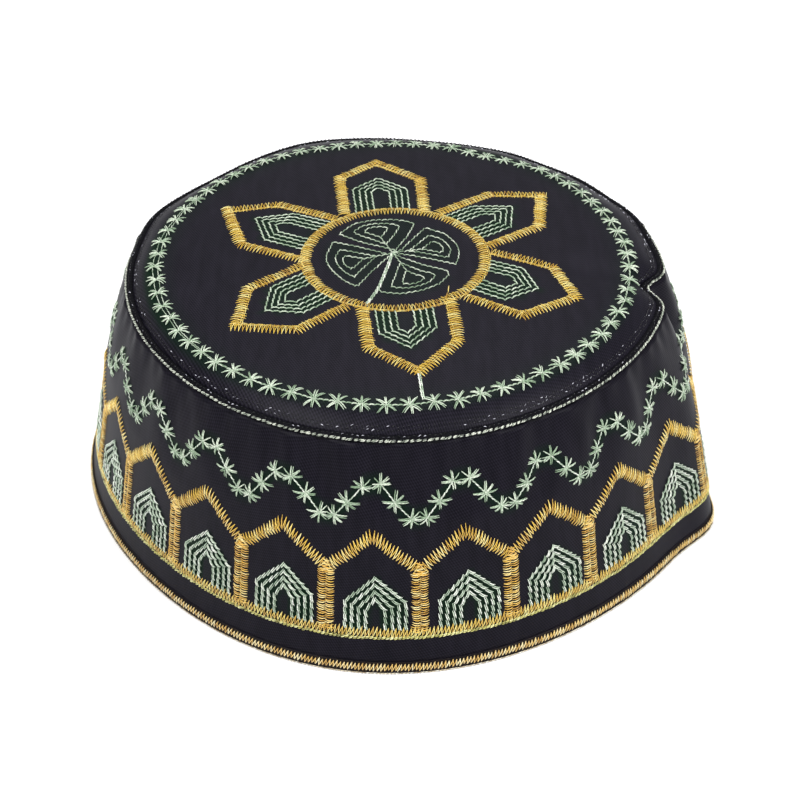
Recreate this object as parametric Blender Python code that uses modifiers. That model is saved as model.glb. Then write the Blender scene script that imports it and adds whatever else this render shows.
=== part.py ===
# An embroidered prayer cap: a flared side band, a flat crown whose margin rolls
# down to the seam, the corded seam between them and the overlocked edge it
# stands on. Metres, +Z up. The front of the cap faces -Y, and the origin lies
# on the floor, in the middle of the cap's box.

from collections import namedtuple
from math import cos, exp, pi, radians, sin

import bmesh
import bpy

# Driving sizes
head_round = 0.547  # round the inside of the foot
wall = 0.0015  # cloth with its stiffening
seam_radius = 0.0735  # out to the seam between band and crown
seam_height = 0.0678
band_bulge = 0.0019  # the band's belly, under the seam
crown_ring_radius = 0.0642  # where the top turns down into its margin
crown_rise = 0.0043  # from the seam up to that ring
crown_dome = 0.0024  # from that ring up to the middle
cord_thick = 0.0026
edging_height = 0.0040
edging_thick = 0.0028
gap = 0.0003  # between neighbouring pieces

# Leans and shifts of the soft cap, as shares of the sizes named after them
seam_lean = 0.020  # seam_height: higher on one side than on the other
seam_lean_angle = -25
seam_shift = (0.007, -0.035)  # seam_radius: right, back
crown_shift = (-0.004, -0.056)  # seam_radius: right, back

# The crease that runs down from the seam on the right, and the corner of the foot below it
crease_angle = 82
crease_width = 4.2
crease_depth = 0.070  # seam_radius
crease_low = 0.35  # seam_height
corner_angle = 69
corner_width = 6.5
corner_height = 0.047  # the foot's radius
crown_fold_depth = 0.25  # crown_rise
crown_fold_width = 0.10  # crown_ring_radius
crown_fold_inner = 0.30  # crown_ring_radius

# Lobes of the outlines: how many in a turn, their height as a share of the
# outline's radius, and the angle of the first crest.
Lobe = namedtuple("Lobe", "count height crest")
foot_lobes = (
    Lobe(2, 0.0220, 65),
    Lobe(3, 0.0075, -18),
    Lobe(4, 0.0130, -6),
)
seam_lobes = (
    Lobe(2, 0.0135, 29),
    Lobe(3, 0.0070, -17),
    Lobe(4, 0.0050, -3),
)

# Bends of the seam where the cloth stands out or falls in at the sides and back: angle
# and half width in degrees, height as a share of seam_radius.
Bend = namedtuple("Bend", "angle width height")
seam_bends = (
    Bend(-160, 11, 0.022),
    Bend(-134, 10, -0.016),
    Bend(-113, 8, 0.016),
    Bend(112, 8, 0.018),
    Bend(131, 9, 0.013),
    Bend(150, 7, 0.011),
    Bend(172, 10, -0.011),
)

# Hollows between the gathers under the seam: angle and half width in degrees,
# depth as a share of seam_radius, lower end as a share of seam_height.
Gather = namedtuple("Gather", "angle width depth low")
gathers = (
    Gather(-62, 5.0, 0.007, 0.62),
    Gather(-46, 4.5, 0.009, 0.60),
    Gather(-30, 4.0, 0.012, 0.66),
    Gather(-15, 4.5, 0.018, 0.68),
    Gather(-1, 5.0, 0.018, 0.70),
    Gather(12, 4.5, 0.020, 0.68),
    Gather(26, 3.5, 0.014, 0.66),
    Gather(41, 4.5, 0.009, 0.62),
    Gather(58, 5.0, 0.007, 0.60),
    Gather(118, 6.0, 0.010, 0.55),
    Gather(143, 5.0, 0.014, 0.60),
    Gather(166, 6.0, 0.012, 0.58),
    Gather(-170, 5.0, 0.014, 0.62),
    Gather(-147, 6.0, 0.011, 0.56),
    Gather(-121, 5.5, 0.012, 0.60),
    Gather(-95, 5.0, 0.009, 0.60),
)

# The edging's section: across the band from its inner side, and up from the floor,
# as shares of edging_thick and edging_height.
Corner = namedtuple("Corner", "across up")
edging_section = (
    Corner(0.22, 0.00),
    Corner(0.78, 0.00),
    Corner(1.00, 0.18),
    Corner(1.00, 0.74),
    Corner(0.82, 1.00),
    Corner(0.18, 1.00),
    Corner(0.00, 0.74),
    Corner(0.00, 0.18),
)

# How finely the pieces are cut
stations = 96
band_rows = 9
top_rings = 4
margin_rings = 4

# Sizes that follow
foot_radius = head_round / (2 * pi) + wall
cord_radius = cord_thick / 2
seam_corner = cos(radians(45)) * cord_radius  # from the seam's line to the cord's middle
angles = [radians(360 * i / stations) for i in range(stations)]


def bell(angle, middle, width):
    # 1 at the middle, falling smoothly to nothing; all in degrees but the angle
    turn = (angle - radians(middle) + pi) % (2 * pi) - pi
    return exp(-((turn / radians(width)) ** 2))


def ease(value):
    # from 0 to 1 with level ends
    share = min(max(value, 0.0), 1.0)
    return share * share * (3 - 2 * share)


def lobed(angle, lobes):
    return 1 + sum(lobe.height * cos(lobe.count * (angle - radians(lobe.crest))) for lobe in lobes)


def foot_outline(angle):
    corner = corner_height * bell(angle, corner_angle, corner_width)
    return foot_radius * (lobed(angle, foot_lobes) + corner)


def uncreased_seam(angle):
    bends = sum(bend.height * bell(angle, bend.angle, bend.width) for bend in seam_bends)
    return seam_radius * (lobed(angle, seam_lobes) + bends)


def crease(angle):
    return seam_radius * crease_depth * bell(angle, crease_angle, crease_width)


def seam_outline(angle):
    return uncreased_seam(angle) - crease(angle)


def seam_level(angle):
    return seam_height * (1 + seam_lean * cos(angle - radians(seam_lean_angle)))


def hollow(angle, share):
    # how deep the gathers press in, at a share of the band's height
    depth = 0
    for gather in gathers:
        if gather.low < share < 1:
            along = sin(pi * (share - gather.low) / (1 - gather.low))
            depth += gather.depth * along * bell(angle, gather.angle, gather.width)
    return seam_radius * depth


def polar(radius, angle, height, middle=(0, 0)):
    return (middle[0] + radius * sin(angle), middle[1] - radius * cos(angle), height)


def band_radius(angle, share):
    # The crease starts part of the way up, and the belly is fullest at about 0.7.
    straight = foot_outline(angle) * (1 - share) + uncreased_seam(angle) * share
    belly = band_bulge * sin(pi * share**2)
    creased = crease(angle) * ease((share - crease_low) / (1 - crease_low))
    return straight + belly - creased - hollow(angle, share)


def band_point(angle, share, inset=0.0):
    middle = [seam_radius * shift * share for shift in seam_shift]
    return polar(band_radius(angle, share) - inset, angle, seam_level(angle) * share, middle)


def seam_point(angle, inward, up):
    # a point inward of the seam's line and above it
    middle = [seam_radius * shift for shift in seam_shift]
    return polar(seam_outline(angle) - inward, angle, seam_level(angle) + up, middle)


def crown_level(x, y):
    # height of the crown's top over its own ring: a shallow dome with one fold in it
    across = x * sin(radians(crease_angle)) - y * cos(radians(crease_angle))
    aside = x * cos(radians(crease_angle)) + y * sin(radians(crease_angle))
    dome = crown_dome * (1 - (x * x + y * y) / crown_ring_radius**2)
    width = crown_fold_width * crown_ring_radius
    reach = ease((across / crown_ring_radius - crown_fold_inner) / (1 - crown_fold_inner))
    fold = crown_fold_depth * crown_rise * reach * exp(-((aside / width) ** 2))
    return dome - fold


def crown_point(angle, share):
    # share 0 to 1 goes out to the ring, 1 to 2 goes down the margin to the cord
    middle = [seam_radius * shift for shift in crown_shift]
    radius = crown_ring_radius * min(share, 1)
    x, y, _ = polar(radius, angle, 0)
    level = seam_level(angle) * min(share, 1) + seam_height * (1 - min(share, 1))
    top = (x + middle[0], y + middle[1], level + crown_rise + crown_level(x, y))
    if share <= 1:
        return top
    reach = cord_radius + gap
    rim = seam_point(angle, seam_corner + reach * 0.64, reach * 0.77 - seam_corner)
    down = (share - 1) ** 1.7
    out = share - 1
    return (
        top[0] + (rim[0] - top[0]) * out,
        top[1] + (rim[1] - top[1]) * out,
        top[2] + (rim[2] - top[2]) * down,
    )


# The middle of the foot's box is the origin.
foot = [band_point(angle, 0) for angle in angles]
shift_x = -(min(p[0] for p in foot) + max(p[0] for p in foot)) / 2
shift_y = -(min(p[1] for p in foot) + max(p[1] for p in foot)) / 2


def centred(point):
    return (point[0] + shift_x, point[1] + shift_y, point[2])


def fabric(name, colour, roughness, sheen=0.0):
    material = bpy.data.materials.new(name)
    material.use_nodes = True
    shader = material.node_tree.nodes["Principled BSDF"]
    shader.inputs["Base Color"].default_value = (*colour, 1)
    shader.inputs["Roughness"].default_value = roughness
    shader.inputs["Metallic"].default_value = 0
    shader.inputs["Sheen Weight"].default_value = sheen
    material.diffuse_color = (*colour, 1)
    return material


def add_mesh(name, rows, material, closed_rows=False, pole=None, cloth=0.0):
    # A grid of rings: each row holds one point for each station, listed from the bottom up or
    # from the edge inwards. closed_rows joins the last row to the first, a pole fills it.
    mesh = bmesh.new()
    rings = [[mesh.verts.new(centred(point)) for point in row] for row in rows]
    if closed_rows:
        pairs = zip(rings, rings[1:] + rings[:1])
    else:
        pairs = zip(rings, rings[1:])
    for lower, upper in pairs:
        for i in range(stations):
            j = (i + 1) % stations
            mesh.faces.new((lower[i], lower[j], upper[j], upper[i]))
    if pole:
        middle = mesh.verts.new(centred(pole))
        for i in range(stations):
            mesh.faces.new((rings[-1][i], rings[-1][(i + 1) % stations], middle))
    if closed_rows:
        bmesh.ops.recalc_face_normals(mesh, faces=mesh.faces)
    data = bpy.data.meshes.new(name)
    mesh.to_mesh(data)
    mesh.free()
    data.shade_smooth()
    data.materials.append(material)
    piece = bpy.data.objects.new(name, data)
    collection.objects.link(piece)
    if cloth:
        solid = piece.modifiers.new("cloth", "SOLIDIFY")
        solid.thickness = cloth
        solid.offset = -1
        solid.use_even_offset = True
    return piece


def make_side_band():
    low = (edging_height + gap + wall * 0.2) / seam_height
    high = 1 - (seam_corner + cord_radius + gap) / seam_height
    rows = []
    for row in range(band_rows + 1):
        share = low + (high - low) * row / band_rows
        rows.append([band_point(angle, share) for angle in angles])
    return add_mesh("side_band", rows, fabric("band_satin", (0.020, 0.019, 0.028), 0.45, 0.3), cloth=wall)


def make_crown_top():
    shares = [2 - ring / margin_rings for ring in range(margin_rings)]
    shares += [1 - ring / top_rings for ring in range(top_rings)]
    rows = [[crown_point(angle, share) for angle in angles] for share in shares]
    satin = fabric("crown_satin", (0.021, 0.020, 0.029), 0.45, 0.3)
    return add_mesh("crown_top", rows, satin, pole=crown_point(0, 0), cloth=wall)


def make_seam_cord():
    line = bpy.data.curves.new("seam_cord", "CURVE")
    line.dimensions = "3D"
    line.bevel_depth = cord_radius
    line.bevel_resolution = 2
    run = line.splines.new("POLY")
    run.points.add(stations - 1)
    for point, angle in zip(run.points, angles):
        point.co = (*centred(seam_point(angle, seam_corner, -seam_corner)), 1)
    run.use_cyclic_u = True
    line.materials.append(fabric("cord_thread", (0.012, 0.012, 0.014), 0.35))
    piece = bpy.data.objects.new("seam_cord", line)
    collection.objects.link(piece)
    return piece


def make_rim_edging():
    rows = []
    for corner in edging_section:
        share = corner.up * edging_height / seam_height
        inset = wall / 2 + edging_thick * (0.5 - corner.across)
        row = []
        for angle in angles:
            x, y, _ = band_point(angle, share, inset)
            row.append((x, y, corner.up * edging_height))
        rows.append(row)
    return add_mesh("rim_edging", rows, fabric("edging_thread", (0.62, 0.39, 0.10), 0.4, 0.2), closed_rows=True)


for item in list(bpy.data.objects):
    bpy.data.objects.remove(item, do_unlink=True)
collection = bpy.data.collections.new("prayer_cap")
bpy.context.scene.collection.children.link(collection)
make_side_band()
make_crown_top()
make_seam_cord()
make_rim_edging()
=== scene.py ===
from math import cos, pi, radians, sin
from types import SimpleNamespace

import bpy
import numpy as np
from mathutils import Matrix


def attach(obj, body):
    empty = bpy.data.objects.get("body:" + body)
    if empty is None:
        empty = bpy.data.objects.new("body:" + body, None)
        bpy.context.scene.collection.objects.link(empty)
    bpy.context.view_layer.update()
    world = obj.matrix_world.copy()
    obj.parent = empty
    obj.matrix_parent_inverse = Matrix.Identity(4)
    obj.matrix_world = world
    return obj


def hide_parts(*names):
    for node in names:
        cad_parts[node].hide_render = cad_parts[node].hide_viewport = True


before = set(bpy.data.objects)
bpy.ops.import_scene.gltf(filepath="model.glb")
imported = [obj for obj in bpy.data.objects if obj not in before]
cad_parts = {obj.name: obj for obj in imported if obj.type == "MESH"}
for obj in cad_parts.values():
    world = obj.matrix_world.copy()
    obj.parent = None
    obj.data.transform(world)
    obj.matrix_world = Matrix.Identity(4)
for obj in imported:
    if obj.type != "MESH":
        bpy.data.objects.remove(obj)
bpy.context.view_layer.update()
mm = 0.001

# The cap's form, with the values of the solids. Angles are in degrees from the front
# towards the right, and lobes are rows of count, height and crest.
capShape = {
    "headRound": 0.547,
    "wall": 0.0015,
    "seamRadius": 0.0735,
    "seamHeight": 0.0678,
    "bandBulge": 0.0019,
    "crownRing": 0.0642,
    "crownRise": 0.0043,
    "crownDome": 0.0024,
    "cordThick": 0.0026,
    "edgingHeight": 0.0040,
    "edgingThick": 0.0028,
    "gap": 0.0003,
    "seamLean": 0.020,
    "seamLeanAngle": -25,
    "seamShift": (0.007, -0.035),
    "crownShift": (-0.004, -0.056),
    "creaseAngle": 82,
    "creaseWidth": 4.2,
    "creaseDepth": 0.070,
    "creaseLow": 0.35,
    "cornerAngle": 69,
    "cornerWidth": 6.5,
    "cornerHeight": 0.047,
    "foldDepth": 0.25,
    "foldWidth": 0.10,
    "foldInner": 0.30,
    "footLobes": ((2, 0.0220, 65), (3, 0.0075, -18), (4, 0.0130, -6)),
    "seamLobes": ((2, 0.0135, 29), (3, 0.0070, -17), (4, 0.0050, -3)),
    # angle, width, height
    "seamBends": (
        (-160, 11, 0.022),
        (-134, 10, -0.016),
        (-113, 8, 0.016),
        (112, 8, 0.018),
        (131, 9, 0.013),
        (150, 7, 0.011),
        (172, 10, -0.011),
    ),
    # angle, width, depth, low end
    "gathers": (
        (-62, 5.0, 0.007, 0.62),
        (-46, 4.5, 0.009, 0.60),
        (-30, 4.0, 0.012, 0.66),
        (-15, 4.5, 0.018, 0.68),
        (-1, 5.0, 0.018, 0.70),
        (12, 4.5, 0.020, 0.68),
        (26, 3.5, 0.014, 0.66),
        (41, 4.5, 0.009, 0.62),
        (58, 5.0, 0.007, 0.60),
        (118, 6.0, 0.010, 0.55),
        (143, 5.0, 0.014, 0.60),
        (166, 6.0, 0.012, 0.58),
        (-170, 5.0, 0.014, 0.62),
        (-147, 6.0, 0.011, 0.56),
        (-121, 5.5, 0.012, 0.60),
        (-95, 5.0, 0.009, 0.60),
    ),
}
form = SimpleNamespace(**capShape)
footRadius = form.headRound / (2 * pi) + form.wall
cordRadius = form.cordThick / 2
seamCorner = cos(radians(45)) * cordRadius


def bell(angle, middle, width):
    turn = (angle - radians(middle) + pi) % (2 * pi) - pi
    return np.exp(-((turn / radians(width)) ** 2))


def ease(value):
    share = np.clip(value, 0, 1)
    return share * share * (3 - 2 * share)


def bumps(angle, rows):
    # a sum of bells, each with its angle, width and height
    return sum(height * bell(angle, middle, width) for middle, width, height in rows)


def lobed(angle, lobes):
    return 1 + sum(height * np.cos(count * (angle - radians(crest))) for count, height, crest in lobes)


def footOutline(angle):
    corner = form.cornerHeight * bell(angle, form.cornerAngle, form.cornerWidth)
    return footRadius * (lobed(angle, form.footLobes) + corner)


def uncreasedSeam(angle):
    return form.seamRadius * (lobed(angle, form.seamLobes) + bumps(angle, form.seamBends))


def crease(angle):
    return form.seamRadius * form.creaseDepth * bell(angle, form.creaseAngle, form.creaseWidth)


def seamLevel(angle):
    return form.seamHeight * (1 + form.seamLean * np.cos(angle - radians(form.seamLeanAngle)))


def hollow(angle, share):
    depth = 0
    for middle, width, deep, low in form.gathers:
        along = np.sin(pi * np.clip((share - low) / (1 - low), 0, 1))
        depth = depth + deep * along * bell(angle, middle, width)
    return form.seamRadius * depth


# Small puckers that the solids leave out: how many in a turn, their height, and the share
# of the band's height where they begin.
puckers = {
    "seamCount": 74,
    "seamHeight": 0.00022,
    "seamLow": 0.88,
    "softCount": 31,
    "softHeight": 0.00030,
    "softLow": 0.62,
    "softHigh": 0.86,
    "ridges": (-46, -33, -20, -7, 8, 24, 38, 52),
    "ridgeWidth": 2.2,
    "ridgeHeight": 0.00050,
    "ridgeLow": 0.70,
}

# The soft fold down the right side: the fold's angle, its widths before and behind it, and
# the foot tucked in behind it.
sideFold = {
    "angle": 71.1,
    "rise": 0.0018,
    "front": 9.9,
    "behind": 5.0,
    # share of the band's height, share of the rise
    "profile": ((0, 0), (0.05, 0.31), (0.18, 0.57), (0.45, 1), (0.79, 0.35), (1, 0)),
    "tuck": 0.0016,
    "tuckAngle": 89,
    "tuckWidth": 12,
    "tuckHeight": 0.35,
}


def folded(angle, share):
    turn = np.degrees((angle - radians(sideFold["angle"]) + pi) % (2 * pi) - pi)
    ridge = np.exp(-((turn / np.where(turn < 0, sideFold["front"], sideFold["behind"])) ** 2))
    along = np.interp(share, *zip(*sideFold["profile"]))
    tucked = bell(angle, sideFold["tuckAngle"], sideFold["tuckWidth"])
    tucked = tucked * (1 - ease(share / sideFold["tuckHeight"]))
    return sideFold["rise"] * along * ridge - sideFold["tuck"] * tucked


def ripple(angle, share):
    near = ease((share - puckers["seamLow"]) / (1 - puckers["seamLow"]))
    wide = ease((share - puckers["softLow"]) / (puckers["softHigh"] - puckers["softLow"]))
    # slower waves make the spacing uneven
    fine = np.sin(puckers["seamCount"] * angle + 2.1 * np.sin(5 * angle))
    soft = np.sin(puckers["softCount"] * angle + 1.7 * np.sin(3 * angle + 0.4))
    ridges = sum(bell(angle, middle, puckers["ridgeWidth"]) for middle in puckers["ridges"])
    ridges = ridges * np.sin(pi * np.clip((share - puckers["ridgeLow"]) / (1 - puckers["ridgeLow"]), 0, 1))
    small = puckers["seamHeight"] * near * fine + puckers["softHeight"] * wide * soft
    return small + puckers["ridgeHeight"] * ridges


def rawBand(angle, share, plain=False):
    angle, share = np.broadcast_arrays(np.asarray(angle, float), np.asarray(share, float))
    radius = footOutline(angle) * (1 - share) + uncreasedSeam(angle) * share
    radius = radius + form.bandBulge * np.sin(pi * share**2)
    radius = radius - crease(angle) * ease((share - form.creaseLow) / (1 - form.creaseLow))
    if not plain:
        radius = radius - hollow(angle, share) + ripple(angle, share) + folded(angle, share)
    x = form.seamRadius * form.seamShift[0] * share + radius * np.sin(angle)
    y = form.seamRadius * form.seamShift[1] * share - radius * np.cos(angle)
    return np.stack((x, y, seamLevel(angle) * share), -1)


# The middle of the foot's box is the origin, as in the solids, which have 96 stations.
footRing = rawBand(np.radians(np.arange(96) * 3.75), 0.0, plain=True)
centre = np.append(-(footRing.min(0) + footRing.max(0))[:2] / 2, 0)


def bandSurface(angle, share):
    return rawBand(angle, share) + centre


def seamPoint(angle, inward, up):
    radius = uncreasedSeam(angle) - crease(angle) - inward
    x = form.seamRadius * form.seamShift[0] + radius * np.sin(angle)
    y = form.seamRadius * form.seamShift[1] - radius * np.cos(angle)
    return np.stack(np.broadcast_arrays(x, y, seamLevel(angle) + up), -1) + centre


def crownLevel(x, y):
    turn = radians(form.creaseAngle)
    across = x * sin(turn) - y * cos(turn)
    aside = x * cos(turn) + y * sin(turn)
    dome = form.crownDome * (1 - (x * x + y * y) / form.crownRing**2)
    reach = ease((across / form.crownRing - form.foldInner) / (1 - form.foldInner))
    narrow = np.exp(-((aside / (form.foldWidth * form.crownRing)) ** 2))
    return dome - form.foldDepth * form.crownRise * reach * narrow


def crownPoint(angle, share):
    # share 0 to 1 goes out to the ring, 1 to 2 goes down the margin to the cord
    angle, share = np.broadcast_arrays(np.asarray(angle, float), np.asarray(share, float))
    inner = np.minimum(share, 1)
    x = form.crownRing * inner * np.sin(angle)
    y = -form.crownRing * inner * np.cos(angle)
    level = seamLevel(angle) * inner + form.seamHeight * (1 - inner)
    shift = form.seamRadius * np.array(form.crownShift)
    top = np.stack((x + shift[0], y + shift[1], level + form.crownRise + crownLevel(x, y)), -1) + centre
    reach = cordRadius + form.gap
    rim = seamPoint(angle, seamCorner + reach * 0.64, reach * 0.77 - seamCorner)
    out = np.maximum(share - 1, 0)[..., None]
    down = np.concatenate((out, out, out**1.7), -1)
    return top + (rim - top) * down


def crownSurface(angle, radius):
    # the same by the distance from the ring's middle, in plan
    edge = crownPoint(angle, 1.0)
    rim = crownPoint(angle, 2.0)
    width = np.linalg.norm((rim - edge)[..., :2], axis=-1)
    beyond = np.clip((radius - form.crownRing) / width, 0, 1)
    return crownPoint(angle, np.where(radius <= form.crownRing, radius / form.crownRing, 1 + beyond))


def unit(vectors):
    return vectors / np.maximum(np.linalg.norm(vectors, axis=-1, keepdims=True), 1e-9)


def surfaceNormal(surface, angle, other, stepOther):
    alongAngle = surface(angle + 0.002, other) - surface(angle - 0.002, other)
    alongOther = surface(angle, other + stepOther) - surface(angle, other - stepOther)
    return unit(np.cross(alongAngle, alongOther))


# The band's pattern: repeats in a turn, the angle of the first post, and heights in mm
# before the seam's lean. Widths along the band are in repeats.
pattern = {
    "repeats": 22,
    "firstPost": 0.0694,
    "postShift": -0.01,
    "baseHeight": 12.8,
    "loopHeight": 11.3,
    "postTop": 31.5,
    "junction": 32.6,
    "apexHeight": 42.6,
    "archMiddle": 0.53,
    # half width, shoulder height, apex height
    "arches": ((0.320, 22.3, 30.0), (0.2475, 21.5, 27.9), (0.175, 20.6, 25.8), (0.1025, 19.7, 23.7)),
    "archFoot": 13.6,
    # place, height and kind of each star, and 1 for the left one of a pair
    "stars": (
        (-0.083, 47.5, "lowPair", 1),
        (0.085, 47.5, "lowPair", -1),
        (0.228, 51.6, "single", -1),
        (0.385, 56.0, "highPair", 1),
        (0.582, 56.0, "highPair", -1),
        (0.745, 51.5, "single", 1),
    ),
}

shareSteps = 60
repeatSteps = 24
# a repeat's width and the longest step along a path, in mm
repeatWidth = 25
pathStep = 0.5
# how far apart a surface is read for its outward direction: in share of height, in metres
bandProbe = 0.003
crownProbe = 0.0008
halfTurn = pattern["repeats"] / 2 + 0.6


def makeRepeatTable():
    # angle of each repeat at each height, evenly spaced along the band's own outline
    angles = np.linspace(-1.5 * pi, 1.5 * pi, 2161)
    repeats = np.linspace(-halfTurn, halfTurn, int(round(2 * halfTurn * repeatSteps)) + 1)
    rows = []
    for share in np.linspace(0, 1, shareSteps + 1):
        line = rawBand(angles, share, plain=True)[:, :2]
        run = np.append(0, np.cumsum(np.linalg.norm(np.diff(line, axis=0), axis=1)))
        turn = np.interp(pi, angles, run) - np.interp(-pi, angles, run)
        start = np.interp(pattern["firstPost"], angles, run)
        rows.append(np.interp(start + repeats * turn / pattern["repeats"], run, angles))
    return repeats, np.array(rows)


repeatLine, repeatTable = makeRepeatTable()


def bandAngle(repeat, share):
    column = (np.asarray(repeat, float) - repeatLine[0]) / (repeatLine[1] - repeatLine[0])
    row = np.asarray(share, float) * shareSteps
    column, row = np.broadcast_arrays(column, row)
    c = np.clip(np.floor(column).astype(int), 0, len(repeatLine) - 2)
    r = np.clip(np.floor(row).astype(int), 0, shareSteps - 1)
    u, v = column - c, row - r
    low = repeatTable[r, c] * (1 - u) + repeatTable[r, c + 1] * u
    high = repeatTable[r + 1, c] * (1 - u) + repeatTable[r + 1, c + 1] * u
    return low * (1 - v) + high * v


def bandSpot(repeat, height):
    share = np.asarray(height, float) * mm / form.seamHeight
    angle = bandAngle(repeat, share)
    share = np.broadcast_to(share, angle.shape)
    return bandSurface(angle, share), surfaceNormal(bandSurface, angle, share, bandProbe)


def crownSpot(right, back):
    # from plan places in mm, measured from the middle of the clover
    x = np.asarray(right, float) * mm + crownPlan["hub"][0]
    y = np.asarray(back, float) * mm + crownPlan["hub"][1]
    angle = np.arctan2(x, -y)
    radius = np.hypot(x, y)
    normal = -surfaceNormal(crownSurface, angle, np.maximum(radius, 0.0012), crownProbe)
    return crownSurface(angle, radius), normal


def spread(corners, step):
    # points along straight runs between corners, no further apart than the step
    corners = np.asarray(corners, float)
    points = [corners[:1]]
    for start, end in zip(corners[:-1], corners[1:]):
        count = max(1, int(np.ceil(np.linalg.norm(end - start) / step)))
        shares = np.arange(1, count + 1)[:, None] / count
        points.append(start + (end - start) * shares)
    return np.concatenate(points)


def asRun(spot, lean=0.0, girth=1.0):
    # a path of points and outward directions, with its stitches' lean and girth
    points, ups = spot
    return points, ups, np.full(len(points), lean), np.full(len(points), girth)


def bandRun(corners):
    # corners are repeats and heights
    flat = spread([(repeat * repeatWidth, height) for repeat, height in corners], pathStep)
    return asRun(bandSpot(flat[:, 0] / repeatWidth, flat[:, 1]))


def crownRun(corners):
    flat = spread(corners, pathStep)
    return asRun(crownSpot(flat[:, 0], flat[:, 1]))


def separateRuns(makeRun, corners):
    return [makeRun(pair) for pair in zip(corners[:-1], corners[1:])]


# Geometry Nodes


def addNode(tree, kind, inputs=None, **settings):
    item = tree.nodes.new(kind)
    for name, value in settings.items():
        setattr(item, name, value)
    for key, value in (inputs or {}).items():
        if isinstance(value, bpy.types.NodeSocket):
            tree.links.new(value, item.inputs[key])
        else:
            item.inputs[key].default_value = value
    return item


def nodeOut(tree, kind, inputs=None, **settings):
    return addNode(tree, kind, inputs, **settings).outputs[0]


def calc(tree, operation, a, b=None, c=None):
    inputs = {i: value for i, value in enumerate((a, b, c)) if value is not None}
    return nodeOut(tree, "ShaderNodeMath", inputs, operation=operation)


def product(tree, first, *others):
    for other in others:
        first = calc(tree, "MULTIPLY", first, other)
    return first


def vectorCalc(tree, operation, a, b=None):
    inputs = {0: a}
    if b is not None:
        inputs["Scale" if operation == "SCALE" else 1] = b
    return nodeOut(tree, "ShaderNodeVectorMath", inputs, operation=operation)


def newTree(name, sizes):
    tree = bpy.data.node_groups.new(name, "GeometryNodeTree")
    tree.interface.new_socket("Geometry", in_out="INPUT", socket_type="NodeSocketGeometry")
    for label, (kind, value) in sizes.items():
        socket = tree.interface.new_socket(label, in_out="INPUT", socket_type="NodeSocket" + kind)
        if value is not None:
            socket.default_value = value
    tree.interface.new_socket("Geometry", in_out="OUTPUT", socket_type="NodeSocketGeometry")
    given = tree.nodes.new("NodeGroupInput").outputs
    result = tree.nodes.new("NodeGroupOutput").inputs
    return tree, given, result


def namedField(tree, name, kind="FLOAT_VECTOR"):
    item = addNode(tree, "GeometryNodeInputNamedAttribute", {"Name": name}, data_type=kind)
    return item.outputs["Attribute"]


def splineField(tree, name="Factor"):
    return addNode(tree, "GeometryNodeSplineParameter").outputs[name]


def randomField(tree, low, high, seed, shift=0):
    index = nodeOut(tree, "GeometryNodeInputIndex")
    moved = calc(tree, "ADD", seed, float(shift))
    inputs = {2: low, 3: high, "ID": index, "Seed": moved}
    return addNode(tree, "FunctionNodeRandomValue", inputs, data_type="FLOAT").outputs[1]


def sidewaysFields(tree):
    tangent = nodeOut(tree, "GeometryNodeInputTangent")
    across = vectorCalc(tree, "CROSS_PRODUCT", namedField(tree, "up"), tangent)
    return tangent, vectorCalc(tree, "NORMALIZE", across)


def capture(tree, geometry, domain, **fields):
    # keeps fields from here on: the outputs are the geometry, then each field
    item = addNode(tree, "GeometryNodeCaptureAttribute", {"Geometry": geometry}, domain=domain)
    for name in fields:
        item.capture_items.new("FLOAT", name)
    for number, field in enumerate(fields.values(), 1):
        tree.links.new(field, item.inputs[number])
    return item.outputs


def stored(tree, geometry, name, value, kind, domain):
    inputs = {"Geometry": geometry, "Name": name, "Value": value}
    return nodeOut(tree, "GeometryNodeStoreNamedAttribute", inputs, data_type=kind, domain=domain)


def resampled(tree, curve, kind, value):
    return nodeOut(tree, "GeometryNodeResampleCurve", {"Curve": curve, kind: value}, mode=kind.upper())


def shifted(tree, geometry, offset):
    return nodeOut(tree, "GeometryNodeSetPosition", {"Geometry": geometry, "Offset": offset})


def looseCurves(tree, wires):
    loose = nodeOut(tree, "GeometryNodeSplitEdges", {"Mesh": wires})
    return nodeOut(tree, "GeometryNodeMeshToCurve", {"Mesh": loose})


def bareWire(tree, curve):
    return nodeOut(tree, "GeometryNodeCurveToMesh", {"Curve": curve})


tubeSizes = {"Thickness": ("Float", 0.36 * mm), "Rise": ("Float", 0.3 * mm), "Seed": ("Int", 1)}
threadSizes = {**tubeSizes, "Thread": ("Material", None)}


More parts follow.
